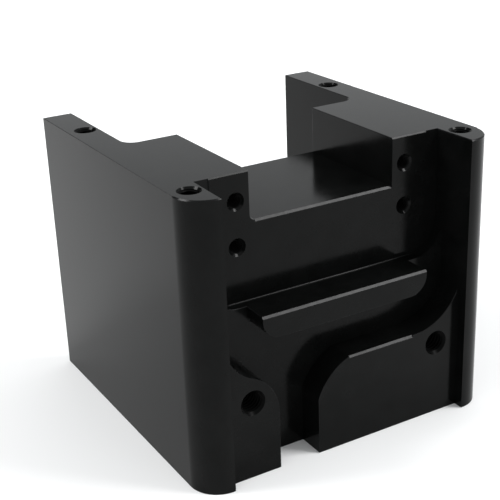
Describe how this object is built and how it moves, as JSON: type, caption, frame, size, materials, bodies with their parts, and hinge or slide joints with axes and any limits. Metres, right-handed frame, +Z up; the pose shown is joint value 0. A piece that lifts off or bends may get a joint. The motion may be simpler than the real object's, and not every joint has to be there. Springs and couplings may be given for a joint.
{
  "type": "mounting block",
  "caption": "H-shaped machined mounting block with two side cheeks, a U-slot across the top, a rear bay and a channelled front with tapped holes.",
  "frame": {"origin": "middle of the block's footprint, on the base plane", "axes": "+Z up, the front with the plate seat, rib and pads faces -Y, +X to the right seen from the front"},
  "size_m": [0.0692, 0.0686, 0.06],
  "materials": {
    "anodised_aluminium": "satin black anodised, fine machined surface, thin bright edge breaks"
  },
  "bodies": {
    "root": {"block_body": "anodised_aluminium"}
  },
  "joints": []
}
